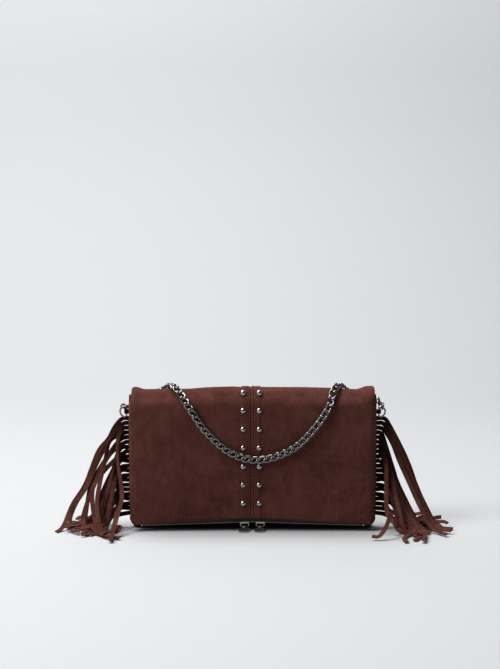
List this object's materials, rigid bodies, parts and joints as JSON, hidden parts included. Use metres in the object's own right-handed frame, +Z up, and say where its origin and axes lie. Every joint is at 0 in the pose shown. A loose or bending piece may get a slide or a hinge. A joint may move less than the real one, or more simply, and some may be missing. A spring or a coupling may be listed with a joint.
{
  "type": "fold-over fringed bag",
  "caption": "Brown suede fold-over bag standing upright, with long fringe at both sides, dome studs along the centre seam, a zip along its lower edge and a curb chain strap over the top",
  "frame": {"origin": "middle of the flat base that the bag stands on", "axes": "+Z up, +X to the right, the flap faces -Y"},
  "size_m": [0.4454, 0.1412, 0.1662],
  "materials": {
    "suede": "dark brown suede with a soft nap",
    "fringe_suede": "dark brown suede cut into strips",
    "tape": "black woven zip tape",
    "dark_metal": "dark nickel, polished"
  },
  "bodies": {
    "bag": {"back_panel_left": "suede", "back_panel_right": "suede", "front_panel": "suede", "fringe_left": "fringe_suede", "fringe_right": "fringe_suede", "ring_tab_left": "fringe_suede", "ring_tab_right": "fringe_suede", "zip_tape_front": "tape", "zip_tape_rear": "tape", "zip_teeth_front": "dark_metal", "zip_teeth_rear": "dark_metal", "zip_stop_left": "dark_metal", "zip_stop_right": "dark_metal", "ring_left": "dark_metal", "ring_right": "dark_metal", "chain_strap": "dark_metal", "stud_left_1": "dark_metal", "stud_left_2": "dark_metal", "stud_left_3": "dark_metal", "stud_left_4": "dark_metal", "stud_left_5": "dark_metal", "stud_left_6": "dark_metal", "stud_left_7": "dark_metal", "stud_right_1": "dark_metal", "stud_right_2": "dark_metal", "stud_right_3": "dark_metal", "stud_right_4": "dark_metal", "stud_right_5": "dark_metal", "stud_right_6": "dark_metal", "stud_right_7": "dark_metal"},
    "left_slider": {"slider_left": "dark_metal"},
    "right_slider": {"slider_right": "dark_metal"},
    "left_pull": {"pull_tab_left": "dark_metal"},
    "right_pull": {"pull_tab_right": "dark_metal"}
  },
  "joints": [
    {"name": "left_slider_slide", "type": "slide", "parent": "bag", "child": "left_slider", "axis": [-0.9994, 0, -0.0332], "range_m": [0, 0.1]},
    {"name": "right_slider_slide", "type": "slide", "parent": "bag", "child": "right_slider", "axis": [0.9994, 0, -0.0332], "range_m": [0, 0.1]},
    {"name": "left_pull_hinge", "type": "hinge", "parent": "left_slider", "child": "left_pull", "pos_m": [-0.0098, -0.0205, 0.004], "axis": [1, 0, 0], "range_deg": [-20, 130]},
    {"name": "right_pull_hinge", "type": "hinge", "parent": "right_slider", "child": "right_pull", "pos_m": [0.0077, -0.0205, 0.004], "axis": [1, 0, 0], "range_deg": [-20, 130]}
  ]
}
